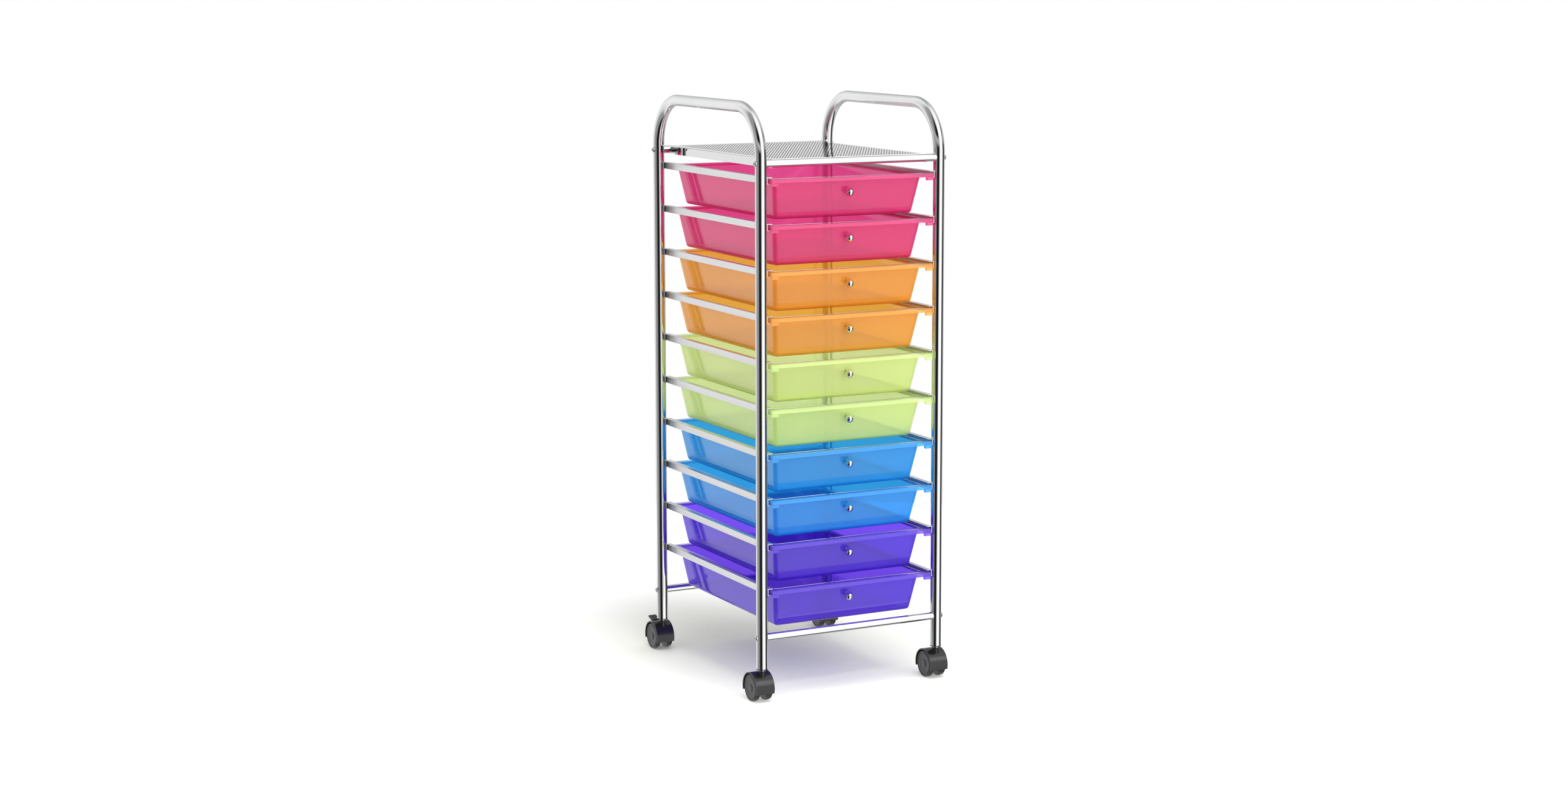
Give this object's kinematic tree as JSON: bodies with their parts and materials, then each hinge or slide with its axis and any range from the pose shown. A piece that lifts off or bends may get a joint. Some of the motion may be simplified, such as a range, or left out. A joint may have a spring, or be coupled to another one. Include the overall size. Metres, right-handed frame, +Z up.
{
  "type": "rolling drawer cart",
  "caption": "Rolling cart on twin-wheel casters: a bent chrome tube frame with a mesh top shelf carries a stack of tinted see-through drawers on channel rails, each with a ball knob.",
  "frame": {"origin": "on the floor, midway between the four posts", "axes": "+Z up, +Y to the rear; the drawers open towards -Y and +X is on the right seen from the front"},
  "size_m": [0.3574, 0.4426, 0.9673],
  "materials": {
    "chrome": "bright plating",
    "shelf_steel": "plated perforated sheet",
    "zinc": "zinc plated",
    "drawer_pink": "clear tinted gloss",
    "drawer_orange": "clear tinted gloss",
    "drawer_lime": "clear tinted gloss",
    "drawer_blue": "clear tinted gloss",
    "drawer_purple": "clear tinted gloss",
    "caster_plastic": "moulded satin black",
    "wheel_plastic": "moulded dark grey"
  },
  "bodies": {
    "frame": {"left_side_tube": "chrome", "right_side_tube": "chrome", "top_front_tube": "chrome", "top_rear_tube": "chrome", "base_front_tube": "chrome", "base_rear_tube": "chrome", "left_drawer_rails": "chrome", "right_drawer_rails": "chrome", "top_shelf_tray": "shelf_steel", "frame_screws": "zinc", "caster_sockets": "caster_plastic", "caster_stems": "zinc"},
    "drawer_unit_1": {"drawer_1": "drawer_pink", "knob_1": "chrome", "knob_screw_1": "zinc"},
    "drawer_unit_2": {"drawer_2": "drawer_pink", "knob_2": "chrome", "knob_screw_2": "zinc"},
    "drawer_unit_3": {"drawer_3": "drawer_orange", "knob_3": "chrome", "knob_screw_3": "zinc"},
    "drawer_unit_4": {"drawer_4": "drawer_orange", "knob_4": "chrome", "knob_screw_4": "zinc"},
    "drawer_unit_5": {"drawer_5": "drawer_lime", "knob_5": "chrome", "knob_screw_5": "zinc"},
    "drawer_unit_6": {"drawer_6": "drawer_lime", "knob_6": "chrome", "knob_screw_6": "zinc"},
    "drawer_unit_7": {"drawer_7": "drawer_blue", "knob_7": "chrome", "knob_screw_7": "zinc"},
    "drawer_unit_8": {"drawer_8": "drawer_blue", "knob_8": "chrome", "knob_screw_8": "zinc"},
    "drawer_unit_9": {"drawer_9": "drawer_purple", "knob_9": "chrome", "knob_screw_9": "zinc"},
    "drawer_unit_10": {"drawer_10": "drawer_purple", "knob_10": "chrome", "knob_screw_10": "zinc"},
    "front_left_caster": {"front_left_caster_hood": "caster_plastic", "front_left_caster_axle": "zinc"},
    "front_left_caster_left_wheel": {"front_left_left_wheel": "wheel_plastic"},
    "front_left_caster_right_wheel": {"front_left_right_wheel": "wheel_plastic"},
    "front_right_caster": {"front_right_caster_hood": "caster_plastic", "front_right_caster_axle": "zinc"},
    "front_right_caster_left_wheel": {"front_right_left_wheel": "wheel_plastic"},
    "front_right_caster_right_wheel": {"front_right_right_wheel": "wheel_plastic"},
    "rear_left_caster": {"rear_left_caster_hood": "caster_plastic", "rear_left_caster_axle": "zinc"},
    "rear_left_caster_left_wheel": {"rear_left_left_wheel": "wheel_plastic"},
    "rear_left_caster_right_wheel": {"rear_left_right_wheel": "wheel_plastic"},
    "rear_left_caster_brake": {"rear_left_brake_lever": "caster_plastic"},
    "rear_right_caster": {"rear_right_caster_hood": "caster_plastic", "rear_right_caster_axle": "zinc"},
    "rear_right_caster_left_wheel": {"rear_right_left_wheel": "wheel_plastic"},
    "rear_right_caster_right_wheel": {"rear_right_right_wheel": "wheel_plastic"},
    "rear_right_caster_brake": {"rear_right_brake_lever": "caster_plastic"}
  },
  "joints": [
    {"name": "drawer_1_slide", "type": "slide", "parent": "frame", "child": "drawer_unit_1", "axis": [0, -1, 0], "range_m": [0, 0.28]},
    {"name": "drawer_2_slide", "type": "slide", "parent": "frame", "child": "drawer_unit_2", "axis": [0, -1, 0], "range_m": [0, 0.28]},
    {"name": "drawer_3_slide", "type": "slide", "parent": "frame", "child": "drawer_unit_3", "axis": [0, -1, 0], "range_m": [0, 0.28]},
    {"name": "drawer_4_slide", "type": "slide", "parent": "frame", "child": "drawer_unit_4", "axis": [0, -1, 0], "range_m": [0, 0.28]},
    {"name": "drawer_5_slide", "type": "slide", "parent": "frame", "child": "drawer_unit_5", "axis": [0, -1, 0], "range_m": [0, 0.28]},
    {"name": "drawer_6_slide", "type": "slide", "parent": "frame", "child": "drawer_unit_6", "axis": [0, -1, 0], "range_m": [0, 0.28]},
    {"name": "drawer_7_slide", "type": "slide", "parent": "frame", "child": "drawer_unit_7", "axis": [0, -1, 0], "range_m": [0, 0.28]},
    {"name": "drawer_8_slide", "type": "slide", "parent": "frame", "child": "drawer_unit_8", "axis": [0, -1, 0], "range_m": [0, 0.28]},
    {"name": "drawer_9_slide", "type": "slide", "parent": "frame", "child": "drawer_unit_9", "axis": [0, -1, 0], "range_m": [0, 0.28]},
    {"name": "drawer_10_slide", "type": "slide", "parent": "frame", "child": "drawer_unit_10", "axis": [0, -1, 0], "range_m": [0, 0.28]},
    {"name": "front_left_swivel", "type": "hinge", "parent": "frame", "child": "front_left_caster", "pos_m": [-0.1625, -0.192, 0.045], "axis": [0, 0, 1], "continuous": true},
    {"name": "front_left_left_wheel_spin", "type": "hinge", "parent": "front_left_caster", "child": "front_left_caster_left_wheel", "pos_m": [-0.1625, -0.1795, 0.022], "axis": [1, 0, 0], "continuous": true},
    {"name": "front_left_right_wheel_spin", "type": "hinge", "parent": "front_left_caster", "child": "front_left_caster_right_wheel", "pos_m": [-0.1625, -0.1795, 0.022], "axis": [1, 0, 0], "continuous": true},
    {"name": "front_right_swivel", "type": "hinge", "parent": "frame", "child": "front_right_caster", "pos_m": [0.1625, -0.192, 0.045], "axis": [0, 0, 1], "continuous": true},
    {"name": "front_right_left_wheel_spin", "type": "hinge", "parent": "front_right_caster", "child": "front_right_caster_left_wheel", "pos_m": [0.1625, -0.1795, 0.022], "axis": [1, 0, 0], "continuous": true},
    {"name": "front_right_right_wheel_spin", "type": "hinge", "parent": "front_right_caster", "child": "front_right_caster_right_wheel", "pos_m": [0.1625, -0.1795, 0.022], "axis": [1, 0, 0], "continuous": true},
    {"name": "rear_left_swivel", "type": "hinge", "parent": "frame", "child": "rear_left_caster", "pos_m": [-0.1625, 0.192, 0.045], "axis": [0, 0, 1], "continuous": true},
    {"name": "rear_left_left_wheel_spin", "type": "hinge", "parent": "rear_left_caster", "child": "rear_left_caster_left_wheel", "pos_m": [-0.1625, 0.2045, 0.022], "axis": [1, 0, 0], "continuous": true},
    {"name": "rear_left_right_wheel_spin", "type": "hinge", "parent": "rear_left_caster", "child": "rear_left_caster_right_wheel", "pos_m": [-0.1625, 0.2045, 0.022], "axis": [1, 0, 0], "continuous": true},
    {"name": "rear_left_brake", "type": "hinge", "parent": "rear_left_caster", "child": "rear_left_caster_brake", "pos_m": [-0.1625, 0.21547, 0.03498], "axis": [1, 0, 0], "range_deg": [-20, 0]},
    {"name": "rear_right_swivel", "type": "hinge", "parent": "frame", "child": "rear_right_caster", "pos_m": [0.1625, 0.192, 0.045], "axis": [0, 0, 1], "continuous": true},
    {"name": "rear_right_left_wheel_spin", "type": "hinge", "parent": "rear_right_caster", "child": "rear_right_caster_left_wheel", "pos_m": [0.1625, 0.2045, 0.022], "axis": [1, 0, 0], "continuous": true},
    {"name": "rear_right_right_wheel_spin", "type": "hinge", "parent": "rear_right_caster", "child": "rear_right_caster_right_wheel", "pos_m": [0.1625, 0.2045, 0.022], "axis": [1, 0, 0], "continuous": true},
    {"name": "rear_right_brake", "type": "hinge", "parent": "rear_right_caster", "child": "rear_right_caster_brake", "pos_m": [0.1625, 0.21547, 0.03498], "axis": [1, 0, 0], "range_deg": [-20, 0]}
  ]
}
